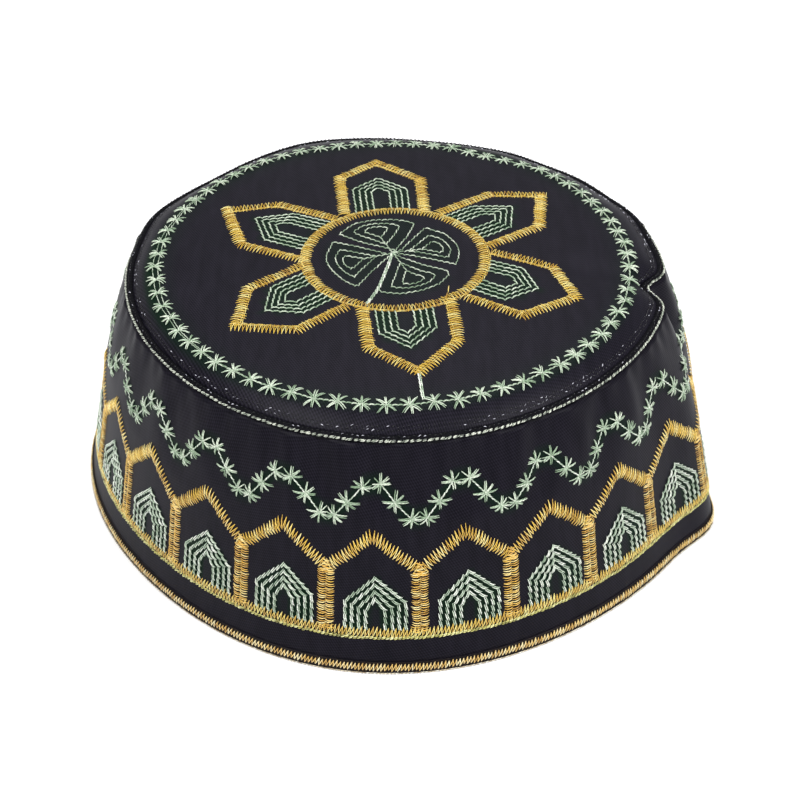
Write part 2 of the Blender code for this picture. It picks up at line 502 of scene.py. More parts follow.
def buildThreadTube():
    # every edge becomes one bowed thread that dips into the cloth at both ends
    tree, given, result = newTree("threadTube", {**tubeSizes, "Sides": ("Int", 5), "Steps": ("Int", 4)})
    chance = randomField(tree, 0.0, 1.0, given["Seed"])
    tone = capture(tree, looseCurves(tree, given["Geometry"]), "CURVE", tone=chance)
    fine = resampled(tree, tone[0], "Count", given["Steps"])
    share = splineField(tree)
    arch = product(tree, share, calc(tree, "SUBTRACT", 1.0, share), 4.0)
    arch = calc(tree, "MAXIMUM", arch, 0.0)
    bow = calc(tree, "POWER", arch, 0.7)
    dip = product(tree, calc(tree, "SUBTRACT", 1.0, bow), product(tree, given["Thickness"], 0.15))
    lift = calc(tree, "SUBTRACT", product(tree, bow, given["Rise"]), dip)
    bent = shifted(tree, fine, vectorCalc(tree, "SCALE", namedField(tree, "up"), lift))
    taper = calc(tree, "MULTIPLY_ADD", calc(tree, "POWER", arch, 0.5), 0.5, 0.5)
    girth = product(tree, taper, calc(tree, "MULTIPLY_ADD", tone[1], 0.24, 0.88))
    run = capture(tree, bent, "POINT", run=splineField(tree, "Length"), girth=girth)
    circle = nodeOut(tree, "GeometryNodeCurvePrimitiveCircle", {"Resolution": given["Sides"], "Radius": 0.5})
    around = capture(tree, circle, "POINT", around=splineField(tree))
    sweep = {"Curve": run[0], "Profile Curve": around[0], "Fill Caps": True}
    sweep["Scale"] = product(tree, run[2], given["Thickness"])
    tube = nodeOut(tree, "GeometryNodeCurveToMesh", sweep)
    toned = stored(tree, tube, "threadTone", tone[1], "FLOAT", "POINT")
    place = nodeOut(tree, "ShaderNodeCombineXYZ", {0: run[1], 1: around[1]})
    mapped = stored(tree, toned, "UVMap", place, "FLOAT2", "CORNER")
    smooth = nodeOut(tree, "GeometryNodeSetShadeSmooth", {"Geometry": mapped})
    tree.links.new(smooth, result["Geometry"])
    return tree


threadTube = buildThreadTube()


def finishThreads(tree, wires, given, result):
    inputs = {"Geometry": wires, **{label: given[label] for label in tubeSizes}}
    tube = nodeOut(tree, "GeometryNodeGroup", inputs, node_tree=threadTube)
    real = nodeOut(tree, "GeometryNodeRealizeInstances", {"Geometry": tube})
    done = nodeOut(tree, "GeometryNodeSetMaterial", {"Geometry": real, "Material": given["Thread"]})
    tree.links.new(done, result["Geometry"])
    return tree


def buildZigzagStitch():
    # a thread that crosses its path from side to side, as satin stitch does
    sizes = {
        "Pitch": ("Float", 0.93 * mm),
        "Width": ("Float", 3.4 * mm),
        "Lean": ("Float", 1.0),
        "Unevenness": ("Float", 0.08),
    }
    tree, given, result = newTree("zigzagStitch", {**sizes, **threadSizes})
    curve = nodeOut(tree, "GeometryNodeMeshToCurve", {"Mesh": given["Geometry"]})
    steps = resampled(tree, curve, "Length", product(tree, given["Pitch"], 0.5))
    tangent, across = sidewaysFields(tree)
    index = nodeOut(tree, "GeometryNodeInputIndex")
    side = calc(tree, "MULTIPLY_ADD", calc(tree, "FLOORED_MODULO", index, 2.0), 2.0, -1.0)
    chance = randomField(tree, -1.0, 1.0, given["Seed"], 3)
    vary = calc(tree, "MULTIPLY_ADD", chance, given["Unevenness"], 1.0)
    reach = product(tree, given["Width"], 0.5, namedField(tree, "girth", "FLOAT"))
    out = product(tree, side, reach, vary)
    ahead = product(tree, out, given["Lean"], namedField(tree, "lean", "FLOAT"))
    sideways = vectorCalc(tree, "SCALE", across, out)
    offset = vectorCalc(tree, "ADD", sideways, vectorCalc(tree, "SCALE", tangent, ahead))
    return finishThreads(tree, bareWire(tree, shifted(tree, steps, offset)), given, result)


def buildRunningStitch():
    # short stitches end to end along the path, each of one or two slanted threads
    sizes = {
        "Stitch": ("Float", 1.7 * mm),
        "Spread": ("Float", 0.4 * mm),
        "Slant": ("Float", 0.15 * mm),
        "Overlap": ("Float", 0.2 * mm),
        "Wander": ("Float", 0.05 * mm),
        "Doubled": ("Bool", True),
    }
    tree, given, result = newTree("runningStitch", {**sizes, **threadSizes})
    curve = nodeOut(tree, "GeometryNodeMeshToCurve", {"Mesh": given["Geometry"]})
    steps = resampled(tree, curve, "Length", given["Stitch"])
    stitches = looseCurves(tree, bareWire(tree, steps))
    tangent, across = sidewaysFields(tree)
    end = calc(tree, "MULTIPLY_ADD", splineField(tree), 2.0, -1.0)
    longer = vectorCalc(tree, "SCALE", tangent, product(tree, end, given["Overlap"], 0.5))
    wander = product(tree, randomField(tree, -1.0, 1.0, given["Seed"], 5), given["Wander"])
    sway = calc(tree, "ADD", product(tree, end, given["Slant"]), wander)
    strands = []
    for hand in (0.5, -0.5):
        shift = calc(tree, "ADD", sway, product(tree, given["Spread"], hand))
        offset = vectorCalc(tree, "ADD", longer, vectorCalc(tree, "SCALE", across, shift))
        strands.append(bareWire(tree, shifted(tree, stitches, offset)))
    choice = {"Switch": given["Doubled"], "True": strands[1]}
    strands[1] = nodeOut(tree, "GeometryNodeSwitch", choice, input_type="GEOMETRY")
    both = addNode(tree, "GeometryNodeJoinGeometry")
    for strand in strands:
        tree.links.new(strand, both.inputs[0])
    return finishThreads(tree, both.outputs[0], given, result)


def buildStarStitch():
    # one star of crossing threads at every point, turned to the point's own aim
    sizes = {"Star": ("Object", None), "Unevenness": ("Float", 0.12 * mm)}
    tree, given, result = newTree("starStitch", {**sizes, **threadSizes})
    star = addNode(tree, "GeometryNodeObjectInfo", {"Object": given["Star"]}).outputs["Geometry"]
    axes = {"Primary Axis": namedField(tree, "up"), "Secondary Axis": namedField(tree, "aim")}
    turned = nodeOut(tree, "FunctionNodeAxesToRotation", axes, primary_axis="Z", secondary_axis="Y")
    size = randomField(tree, 0.92, 1.08, given["Seed"], 2)
    stars = {"Points": given["Geometry"], "Instance": star, "Rotation": turned, "Scale": size}
    placed = nodeOut(tree, "GeometryNodeInstanceOnPoints", stars)
    real = nodeOut(tree, "GeometryNodeRealizeInstances", {"Geometry": placed})
    chances = [randomField(tree, -1.0, 1.0, given["Seed"], 7 + i) for i in range(3)]
    jitters = [product(tree, chance, given["Unevenness"]) for chance in chances]
    jitter = nodeOut(tree, "ShaderNodeCombineXYZ", dict(enumerate(jitters)))
    return finishThreads(tree, shifted(tree, real, jitter), given, result)


zigzagStitch = buildZigzagStitch()
runningStitch = buildRunningStitch()
starStitch = buildStarStitch()
print("stitch trees built")


# Materials


def newShaderGroup(name, inputs, outputs):
    group = bpy.data.node_groups.new(name, "ShaderNodeTree")
    for label, (kind, value) in inputs.items():
        socket = group.interface.new_socket(label, in_out="INPUT", socket_type="NodeSocket" + kind)
        if value is not None:
            socket.default_value = value
    for label, kind in outputs.items():
        group.interface.new_socket(label, in_out="OUTPUT", socket_type="NodeSocket" + kind)
    return group, group.nodes.new("NodeGroupInput").outputs, group.nodes.new("NodeGroupOutput").inputs


def wave(tree, value, cycles):
    return calc(tree, "SINE", product(tree, value, product(tree, cycles, 2 * pi)))


def buildSatinWeave():
    # diagonal twill of a fine satin, read from a map in metres
    group, given, result = newShaderGroup(
        "satinWeave",
        {"Map": ("Vector", None), "Threads": ("Float", 1900.0), "Slubs": ("Float", 420.0)},
        {"Height": "Float", "Tone": "Float"},
    )
    parts = addNode(group, "ShaderNodeSeparateXYZ", {0: given["Map"]}).outputs
    diagonal = calc(group, "ADD", parts[0], product(group, parts[1], 0.55))
    counter = calc(group, "SUBTRACT", parts[1], product(group, parts[0], 0.2))
    twill = wave(group, diagonal, given["Threads"])
    rib = wave(group, counter, product(group, given["Threads"], 0.8))
    weave = calc(group, "ADD", product(group, twill, 0.32), product(group, rib, 0.18))
    stretched = nodeOut(group, "ShaderNodeMapping", {"Vector": given["Map"], "Scale": (1.0, 0.18, 1.0)})
    slubs = {"Vector": stretched, "Scale": given["Slubs"], "Detail": 3.0, "Roughness": 0.6}
    noise = nodeOut(group, "ShaderNodeTexNoise", slubs)
    for label, depth in (("Height", 0.7), ("Tone", 1.2)):
        group.links.new(calc(group, "ADD", product(group, weave, depth), noise), result[label])
    return group


def buildThreadTwist():
    # two plies turned round each other along each thread, read from its own map
    group, given, result = newShaderGroup(
        "threadTwist",
        {"Map": ("Vector", None), "Turns": ("Float", 1100.0)},
        {"Height": "Float", "Groove": "Float"},
    )
    parts = addNode(group, "ShaderNodeSeparateXYZ", {0: given["Map"]}).outputs
    along = product(group, parts[0], given["Turns"])
    spiral = calc(group, "ADD", along, product(group, parts[1], 2.0))
    ply = calc(group, "SINE", product(group, spiral, 2 * pi))
    group.links.new(ply, result["Height"])
    # this output falls to 0 between the plies, where the thread's colour is darkened as painted shade
    group.links.new(calc(group, "MULTIPLY_ADD", ply, 0.5, 0.5), result["Groove"])
    return group


satinWeave = buildSatinWeave()
threadTwist = buildThreadTwist()


def newMaterial(name, roughness, sheen=0.0, sheenTint=(1, 1, 1), specular=0.5):
    material = bpy.data.materials.new(name)
    material.use_nodes = True
    shader = material.node_tree.nodes["Principled BSDF"]
    shader.inputs["Roughness"].default_value = roughness
    shader.inputs["Sheen Weight"].default_value = sheen
    shader.inputs["Sheen Roughness"].default_value = 0.4
    shader.inputs["Sheen Tint"].default_value = (*sheenTint, 1)
    shader.inputs["Specular IOR Level"].default_value = specular
    return material, material.node_tree, shader


def ramp(tree, value, stops):
    item = addNode(tree, "ShaderNodeValToRGB", {0: value})
    item.color_ramp.elements[0].position = stops[0][0]
    item.color_ramp.elements[1].position = stops[-1][0]
    for position, _ in stops[1:-1]:
        item.color_ramp.elements.new(position)
    for element, (_, colour) in zip(item.color_ramp.elements, stops):
        element.color = (*colour, 1)
    return item.outputs[0]


def mixColour(tree, share, first, second, blend="MIX"):
    item = addNode(tree, "ShaderNodeMix", {0: share}, data_type="RGBA", blend_type=blend)
    for place, value in ((6, first), (7, second)):
        if isinstance(value, bpy.types.NodeSocket):
            tree.links.new(value, item.inputs[place])
        else:
            item.inputs[place].default_value = (*value, 1)
    return item.outputs[2]


def finishLook(tree, shader, colour, height, strength, depth):
    bump = nodeOut(tree, "ShaderNodeBump", {"Height": height, "Strength": strength, "Distance": depth})
    tree.links.new(colour, shader.inputs["Base Color"])
    tree.links.new(bump, shader.inputs["Normal"])


satinLook = {
    "dark": (0.0022, 0.0020, 0.0040),
    "light": (0.0105, 0.0092, 0.0150),
    "green": (0.0012, 0.0090, 0.0036),
    "threads": 1450.0,
    "bump": 0.10,
}


# depth scales the satin's colours, so each copy of the one satin is painted darker or lighter for the light
# that falls where it lies
def makeSatin(name, depth, specular):
    material, tree, shader = newMaterial(name, 0.42, 0.008, (0.72, 0.74, 0.90), specular)
    place = nodeOut(tree, "ShaderNodeUVMap", uv_map="UVMap")
    inputs = {"Map": place, "Threads": satinLook["threads"]}
    weave = addNode(tree, "ShaderNodeGroup", inputs, node_tree=satinWeave).outputs
    dark, light = (tuple(value * depth for value in satinLook[key]) for key in ("dark", "light"))
    cloth = ramp(tree, weave["Tone"], ((0.20, dark), (0.85, light)))
    shade = addNode(tree, "ShaderNodeAttribute", attribute_name="greenShade").outputs["Fac"]
    colour = mixColour(tree, shade, cloth, satinLook["green"])
    finishLook(tree, shader, colour, weave["Height"], 0.35, satinLook["bump"] * mm)
    return material


# the band's copy is painted darker, as painted shade on its front; the crown's is painted lighter, as
# painted light on its upward face
bandSatin = makeSatin("bandSatin", 0.88, 0.045)
crownSatin = makeSatin("crownSatin", 1.05, 0.06)

# Each thread's colours from dark to pale, and what differs from the usual look. Where its
# colours aren't evenly spread over the threads, places says where they come.
# groove is how dark the painted shade between a thread's plies is
usualThread = {"roughness": 0.30, "sheen": 0.10, "specular": 0.8, "grooveShade": 0.40, "turns": 1100.0}
blackThread = {"sheen": 0.0, "turns": 700.0}
threadLooks = {
    "gold": (((0.56, 0.29, 0.020), (0.93, 0.60, 0.055), (1.0, 0.87, 0.38)), {}),
    # the crown's copy of the gold thread is painted darker: painted shade against the stronger light on the
    # crown's upward face
    "crownGold": (((0.52, 0.27, 0.018), (0.84, 0.55, 0.050), (0.93, 0.80, 0.30)), {"specular": 0.55}),
    "amber": (((0.60, 0.31, 0.025), (0.95, 0.57, 0.065), (1.0, 0.85, 0.38)), {}),
    "lemon": (((0.64, 0.36, 0.035), (0.90, 0.62, 0.095), (0.95, 0.84, 0.30)), {}),
    "lime": (((0.30, 0.28, 0.05), (0.72, 0.67, 0.16), (0.94, 0.92, 0.44)), {}),
    "mint": (((0.32, 0.45, 0.30), (0.66, 0.78, 0.61), (0.94, 0.98, 0.88)), {}),
    "star": (((0.22, 0.34, 0.20), (0.44, 0.56, 0.40), (0.72, 0.80, 0.65)), {"specular": 0.6}),
    "pale": (((0.05, 0.06, 0.05), (0.34, 0.39, 0.30), (0.84, 0.87, 0.74)), {"places": (0.0, 0.35, 1.0)}),
    # black thread whose few palest stitches are painted highlights: sparkles of light painted into its
    # colour
    "glint": (
        ((0.004, 0.004, 0.005), (0.008, 0.008, 0.010), (0.10, 0.10, 0.12), (0.80, 0.80, 0.90)),
        {"places": (0.0, 0.74, 0.80, 1.0), "roughness": 0.22, "sheen": 0.0, "specular": 0.6},
    ),
    "cord": (
        ((0.003, 0.003, 0.004), (0.006, 0.006, 0.008)),
        {**blackThread, "roughness": 0.55, "specular": 0.03, "grooveShade": 0.7},
    ),
    "flax": (((0.60, 0.33, 0.06), (0.95, 0.64, 0.18), (1.0, 0.90, 0.55)), {}),
    "lip": (((0.40, 0.28, 0.14), (0.85, 0.72, 0.50), (1.0, 0.95, 0.82)), {}),
    "edging": (
        ((0.0035, 0.0025, 0.0030), (0.012, 0.007, 0.005)),
        {**blackThread, "roughness": 0.5, "specular": 0.08, "grooveShade": 0.6},
    ),
}


def makeThread(name, colours, rest):
    look = {"places": np.linspace(0, 1, len(colours)).tolist(), **usualThread, **rest}
    material, tree, shader = newMaterial(name, look["roughness"], look["sheen"], (1, 1, 1), look["specular"])
    place = nodeOut(tree, "ShaderNodeUVMap", uv_map="UVMap")
    inputs = {"Map": place, "Turns": look["turns"]}
    twist = addNode(tree, "ShaderNodeGroup", inputs, node_tree=threadTwist).outputs
    tone = addNode(tree, "ShaderNodeAttribute", attribute_name="threadTone").outputs["Fac"]
    base = ramp(tree, tone, list(zip(look["places"], colours)))
    # painted shade: the colour is darkened between the twist's plies, where shade falls
    dark = mixColour(tree, 1.0, base, (look["grooveShade"],) * 3, "MULTIPLY")
    colour = mixColour(tree, twist["Groove"], dark, base)
    finishLook(tree, shader, colour, twist["Height"], 0.5, 0.05 * mm)
    return material


threads = {name: makeThread(name + "Thread", *look) for name, look in threadLooks.items()}
print("materials made")


# Meshes


def meshObject(name, points, faces, material=None, edges=()):
    mesh = bpy.data.meshes.new(name)
    points = np.asarray(points).reshape(-1, 3).tolist()
    mesh.from_pydata(points, [tuple(edge) for edge in edges], [tuple(face) for face in faces])
    if material:
        mesh.materials.append(material)
    piece = bpy.data.objects.new(name, mesh)
    bpy.context.scene.collection.objects.link(piece)
    return piece


def ringGrid(name, rows, cornerMap, material, closedRows=False, pole=None):
    # rows of stations from the bottom up or the edge inwards; cornerMap has one more column
    rowCount, stations = rows.shape[:2]
    lower = np.arange(rowCount if closedRows else rowCount - 1)
    r, s = np.meshgrid(lower, np.arange(stations), indexing="ij")
    upper, after = (r + 1) % rowCount, (s + 1) % stations
    corners = ((r, s), (r, after), (upper, after), (upper, s))
    faces = np.stack([row * stations + column for row, column in corners], -1).reshape(-1, 4)
    mapped = (cornerMap[r, s], cornerMap[r, s + 1], cornerMap[r + 1, s + 1], cornerMap[r + 1, s])
    uvs = np.stack(mapped, 2).reshape(-1, 2)
    points = rows.reshape(-1, 3)
    faceList = faces.tolist()
    if pole is not None:
        last = (rowCount - 1) * stations
        turn = np.arange(stations)
        fans = (last + turn, last + (turn + 1) % stations, np.full(stations, len(points)))
        faceList += np.stack(fans, -1).tolist()
        points = np.vstack((points, pole[0]))
        fan = np.stack((cornerMap[-1, :-1], cornerMap[-1, 1:], np.tile(pole[1], (stations, 1))), 1)
        uvs = np.vstack((uvs, fan.reshape(-1, 2)))
    piece = meshObject(name, points, faceList, material)
    layer = piece.data.uv_layers.new(name="UVMap")
    layer.data.foreach_set("uv", uvs.astype(np.float32).ravel())
    piece.data.shade_smooth()
    return piece


def pointAttribute(piece, name, values, kind="FLOAT"):
    item = piece.data.attributes.new(name, kind, "POINT")
    item.data.foreach_set("value" if kind == "FLOAT" else "vector", np.asarray(values, np.float32).ravel())


def pathObject(runs):
    edges, start = [], 0
    for run in runs:
        count = len(run[0])
        edges += [(start + i, start + i + 1) for i in range(count - 1)]
        start += count
    points, ups, leans, girths = (np.concatenate(column) for column in zip(*runs))
    path = meshObject("stitchPath", points, [], edges=edges)
    pointAttribute(path, "up", ups, "FLOAT_VECTOR")
    pointAttribute(path, "lean", leans)
    pointAttribute(path, "girth", girths)
    return path


def closeThreadMap(mesh):
    # the map's last strip runs on to 1 instead of back to 0
    starts = np.empty(len(mesh.polygons), np.int32)
    totals = np.empty(len(mesh.polygons), np.int32)
    mesh.polygons.foreach_get("loop_start", starts)
    mesh.polygons.foreach_get("loop_total", totals)
    layer = mesh.attributes["UVMap"]
    uvs = np.empty(len(mesh.loops) * 2, np.float32)
    layer.data.foreach_get("vector", uvs)
    uvs = uvs.reshape(-1, 2)
    corners = starts[totals == 4][:, None] + np.arange(4)
    around = uvs[corners, 1]
    wraps = (around.max(1) - around.min(1)) > 0.5
    around[wraps] = np.where(around[wraps] < 0.5, around[wraps] + 1, around[wraps])
    uvs[corners, 1] = around
    layer.data.foreach_set("vector", uvs.ravel())


def sew(name, tree, path, sizes, thread):
    # runs one stitch tree over a path and keeps the result as a plain mesh
    modifier = path.modifiers.new("stitch", "NODES")
    modifier.node_group = tree
    given = {item.name: item.identifier for item in tree.interface.items_tree if item.in_out == "INPUT"}
    for label, value in sizes.items():
        modifier[given[label]] = value
    modifier[given["Thread"]] = threads[thread]
    graph = bpy.context.evaluated_depsgraph_get()
    sewn = path.evaluated_get(graph)
    mesh = bpy.data.meshes.new_from_object(sewn, preserve_all_data_layers=True, depsgraph=graph)
    mesh.name = name
    path.modifiers.remove(modifier)
    bpy.data.objects.remove(path, do_unlink=True)
    closeThreadMap(mesh)
    piece = bpy.data.objects.new(name, mesh)
    bpy.context.scene.collection.objects.link(piece)
    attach(piece, "root")
    print(name, len(mesh.polygons), "faces")


def sewRuns(name, runs, sizes, thread):
    tree = zigzagStitch if "Pitch" in sizes else runningStitch
    sew(name, tree, pathObject(runs), sizes, thread)


# The columns of a stitch's row, in mm, after its seed and a zigzag's unevenness
runningColumns = ("Stitch", "Spread", "Slant", "Overlap", "Wander", "Thickness", "Rise")
zigzagColumns = ("Pitch", "Width", "Thickness", "Rise")


def running(seed, *row, doubled=True):
    sizes = {name: size * mm for name, size in zip(runningColumns, row)}
    return {**sizes, "Seed": seed, "Doubled": doubled}


def zigzag(seed, unevenness, *row):
    sizes = {name: size * mm for name, size in zip(zigzagColumns, row)}
    return {**sizes, "Seed": seed, "Unevenness": unevenness}


halfCount = pattern["repeats"] // 2
repeats = np.arange(-halfCount, halfCount)


# Satin cloth

clothCut = {
    "stations": 528,
    "bandRows": 46,
    "crownRings": 20,
    "marginRings": 10,
    # metres of the band's map for a radian round, and for the seam's height
    "mapRound": 0.081,
    "mapTall": 0.069,
}


def insideArch(repeat, height):
    # how far a place lies inside the nested arches, for the dark green of their ground thread
    side = np.abs((repeat - pattern["archMiddle"] - pattern["postShift"] + 0.5) % 1 - 0.5)
    half, shoulder, apex = pattern["arches"][0]
    roof = apex + (shoulder - apex) * side / half
    inner = pattern["arches"][-1]
    innerRoof = inner[2] + (inner[1] - inner[2]) * side / inner[0]
    covered = ease((half + 0.03 - side) / 0.05) * ease((roof + 1.2 - height) / 1.6)
    covered = covered * ease((height - 12.5) / 1.0)
    clear = ease((inner[0] - 0.02 - side) / 0.04) * ease((innerRoof - 1.0 - height) / 1.2)
    return covered * (1 - 0.85 * clear)


def starDistance(repeat, height):
    # how far above or below the zigzag line of stars, in mm
    places, heights = zip(*(row[:2] for row in pattern["stars"]))
    share = (repeat - pattern["postShift"]) % 1
    line = np.interp(share, (*places, places[0] + 1), (*heights, heights[0]))
    return np.abs(height - line)


def thicken(piece):
    solid = piece.modifiers.new("cloth", "SOLIDIFY")
    solid.thickness = form.wall
    solid.offset = -1


def makeBandCloth():
    stations, rows = clothCut["stations"], clothCut["bandRows"]
    # the cloth runs on into the edging below and the seam above
    low = (form.edgingHeight - 0.0006) / form.seamHeight
    high = 1 - seamCorner * 1.1 / form.seamHeight
    angles = np.arange(stations + 1) * 2 * pi / stations
    shares = low + (high - low) * np.linspace(0, 1, rows + 1)
    grid = bandSurface(angles[None, :-1], shares[:, None])
    around, up = angles[None] * clothCut["mapRound"], shares[:, None] * clothCut["mapTall"]
    flat = np.stack(np.broadcast_arrays(around, up), -1)
    piece = ringGrid("sideBandCloth", grid, flat, bandSatin)
    # repeats at every vertex, read back from the table of angles
    turned = (angles[:-1] + pi) % (2 * pi) - pi
    shade = []
    for share in shares:
        row = share * shareSteps
        r = min(int(row), shareSteps - 1)
        line = repeatTable[r] * (1 - row + r) + repeatTable[r + 1] * (row - r)
        repeat = np.interp(turned, line, repeatLine)
        height = share * form.seamHeight / mm
        green = insideArch(repeat, height)
        stars = 0.75 * ease((3.6 - starDistance(repeat, height)) / 2.2)
        shade.append(np.maximum(green, stars))
    pointAttribute(piece, "greenShade", np.concatenate(shade))
    thicken(piece)
    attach(piece, "root")
    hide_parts("side_band")


# The crown's pattern, in mm from the middle of the clover: right, back.
crownPlan = {
    "hub": (0.00120, 0.00012),
    "ringMiddle": (0.0, -2.15),
    "ringRadius": 24.2,
    # how far outside the ring's middle line its outer edge runs
    "ringEdge": 1.2,
    "starCount": 69,
    "firstStar": -1.5,
    # angle, width and height: of the count of stars, and of the ring's radius in mm
    "starCounts": ((0, 60, -1.8), (-82, 22, -9.5)),
    "starBends": ((0, 25, 0.6), (-75, 30, -1.0), (-148, 18, 1.8), (133, 12, 1.0), (152, 9, -1.8)),
    # foot, shoulder, apex, shoulder, foot
    "petals": (
        ((-14.0, 20.0), (-15.8, 42.1), (-5.4, 51.5), (7.5, 40.8), (8.5, 20.8)),
        ((12.1, 20.8), (27.1, 32.0), (41.9, 32.4), (40.0, 14.1), (24.9, 3.1)),
        ((25.9, 0.6), (42.4, -5.4), (47.3, -20.4), (32.6, -29.3), (17.5, -20.9)),
        ((14.2, -22.5), (15.8, -40.4), (5.7, -52.9), (-7.1, -43.3), (-8.8, -25.8)),
        ((-12.5, -25.0), (-25.4, -35.0), (-41.2, -32.5), (-39.2, -15.8), (-24.6, -5.4)),
        ((-24.1, -3.6), (-42.1, 6.0), (-47.3, 25.3), (-32.9, 27.3), (-15.9, 18.1)),
    ),
    # how far inside each of a petal's sides its outermost mint line lies, and the next ones' steps
    "petalInsets": (
        (3.3, 8.1, 7.4, 4.3),
        (2.8, 7.3, 7.9, 4.2),
        (4.5, 8.4, 8.0, 3.8),
        (5.1, 7.7, 6.3, 3.2),
        (4.9, 7.4, 6.3, 3.5),
        (4.7, 6.6, 6.6, 2.9),
    ),
    "insetSteps": (1.7, 1.5, 1.5, 1.7),
    "petalLines": 4,
    # outer line of each leaf, then the point that its inner lines shrink to
    "leaves": (
        (
            ((0.2, 0.8), (-9.1, 5.0), (-15.3, 9.5), (-11.4, 14.8), (-6.1, 16.7), (-0.9, 16.9), (2.8, 16.1))
            + ((5.4, 14.7), (3.0, 7.3)),
            (-5.5, 11.3),
        ),
        (
            ((1.4, 0.5), (8.3, 12.3), (13.7, 9.1), (16.6, 3.9), (17.3, -0.6), (16.1, -6.2), (10.6, -4.0))
            + ((3.2, -1.5),),
            (11.0, 2.0),
        ),
        (
            ((0.5, -2.3), (7.6, -6.8), (13.9, -9.4), (14.0, -11.6), (11.2, -15.8), (6.8, -18.6))
            + ((1.5, -20.1), (-2.9, -19.5), (-4.7, -18.7)),
            (4.5, -13.6),
        ),
        (
            ((-1.9, -1.2), (-10.6, 3.0), (-17.0, 5.6), (-18.6, -0.6), (-18.6, -4.5), (-16.7, -9.4))
            + ((-13.7, -13.8), (-10.2, -16.8), (-7.0, -10.8)),
            (-12.2, -4.6),
        ),
    ),
    "leafLines": (1.0, 0.62, 0.32),
    "stem": ((-0.7, -0.6), (-2.8, -10.4), (-4.9, -18.7), (-7.8, -25.0)),
    "tail": ((5.4, -53.4), (6.2, -63.0)),
    "looseThread": ((12.8, -22.9), (13.7, -19.3), (14.0, -16.3)),
}


def crownShade(x, y):
    # dark green inside the petals' nested lines and the clover's leaves
    shade = np.zeros_like(x)
    for petal, insets in zip(crownPlan["petals"], crownPlan["petalInsets"]):
        outline = insetPetal(petal, insets)
        inner = insetPetal(petal, nextInsets(insets, crownPlan["petalLines"] - 1))
        shade = np.maximum(shade, insideOutline(x, y, outline) - 0.8 * insideOutline(x, y, inner))
    for outline, _ in crownPlan["leaves"]:
        shade = np.maximum(shade, 0.45 * insideOutline(x, y, outline))
    return shade


def insideOutline(x, y, corners):
    # 1 well inside a closed outline, falling to 0 about a millimetre outside it
    corners = np.asarray(corners, float)
    following = np.roll(corners, -1, axis=0)
    distance = np.full(x.shape, 1e9)
    inside = np.zeros(x.shape, bool)
    for (ax, ay), (bx, by) in zip(corners, following):
        dx, dy = bx - ax, by - ay
        along = np.clip(((x - ax) * dx + (y - ay) * dy) / (dx * dx + dy * dy), 0, 1)
        distance = np.minimum(distance, np.hypot(x - ax - along * dx, y - ay - along * dy))
        crosses = ((ay > y) != (by > y)) & (x < (bx - ax) * (y - ay) / (by - ay + 1e-12) + ax)
        inside ^= crosses
    return ease((np.where(inside, distance, -distance) + 1.0) / 1.6)


def nextInsets(insets, line):
    return [inset + line * step for inset, step in zip(insets, crownPlan["insetSteps"])]


def insetPetal(corners, insets):
    # moves a petal's four sides inwards and meets them again at new corners
    corners = np.asarray(corners, float)
    middle = corners.mean(0)
    lines = []
    for (start, end), inset in zip(zip(corners[:-1], corners[1:]), insets):
        along = unit(end - start)
        normal = np.array((-along[1], along[0]))
        if np.dot(middle - start, normal) < 0:
            normal = -normal
        lines.append((start + normal * inset, along))
    inner = [lines[0][0]]
    for (p, d), (q, e) in zip(lines[:-1], lines[1:]):
        share = ((q[0] - p[0]) * e[1] - (q[1] - p[1]) * e[0]) / (d[0] * e[1] - d[1] * e[0])
        inner.append(p + d * share)
    last = corners[-1] + (lines[3][0] - corners[3])
    inner.append(last)
    ringMiddle = np.array(crownPlan["ringMiddle"])
    reach = crownPlan["ringRadius"] + crownPlan["ringEdge"]
    for end, towards in ((0, 1), (-1, -2)):
        # the feet start on the gold ring
        direction = unit(inner[end] - inner[towards])
        offset = inner[towards] - ringMiddle
        along = np.dot(offset, direction)
        root = along * along - np.dot(offset, offset) + reach * reach
        if root > 0:
            inner[end] = inner[towards] + direction * (-along - np.sqrt(root))
    return np.array(inner)


def makeCrownCloth():
    stations, margin, rings = clothCut["stations"], clothCut["marginRings"], clothCut["crownRings"]
    angles = np.arange(stations) * 2 * pi / stations
    shares = np.concatenate(((2.10,), 2 - np.arange(margin) / margin, 1 - np.arange(rings) / rings))
    grid = crownPoint(angles[None], shares[:, None])
    flat = np.concatenate((grid[..., :2], grid[:, :1, :2]), 1)
    pole = crownPoint(0.0, 0.0)
    piece = ringGrid("crownCloth", grid, flat, crownSatin, pole=(pole, pole[:2]))
    places = np.vstack((grid.reshape(-1, 3), pole))
    shift = form.seamRadius * np.array(form.crownShift) + centre[:2] + crownPlan["hub"]
    plan = (places[:, :2] - shift) / mm
    shade = crownShade(plan[:, 0], plan[:, 1])
    radius = np.linalg.norm(places[:, :2] - shift + crownPlan["hub"], axis=1) / mm
    turn = np.arctan2(plan[:, 0], -plan[:, 1])
    shade = np.maximum(shade, (0.5 + 0.5 * bell(turn, -85, 32)) * ease((3.6 - np.abs(radius - 64.0)) / 2.0))
    pointAttribute(piece, "greenShade", shade)
    thicken(piece)
    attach(piece, "root")
    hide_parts("crown_top")


makeBandCloth()
makeCrownCloth()
print("cloth made")


# Rolls: the corded seam and the body of the edging

rollCut = {
    "stations": 840,
    "sides": 12,
    "seamPinch": 0.08,
    "seamPinches": 420,
    "footStations": 528,
    # metres of map for a radian round
    "seamMap": 0.0735,
    "footMap": 0.0885,
}
# half the width of the edging's body, which its stitches wrap
edgingHalf = form.edgingThick / 2 * 0.86


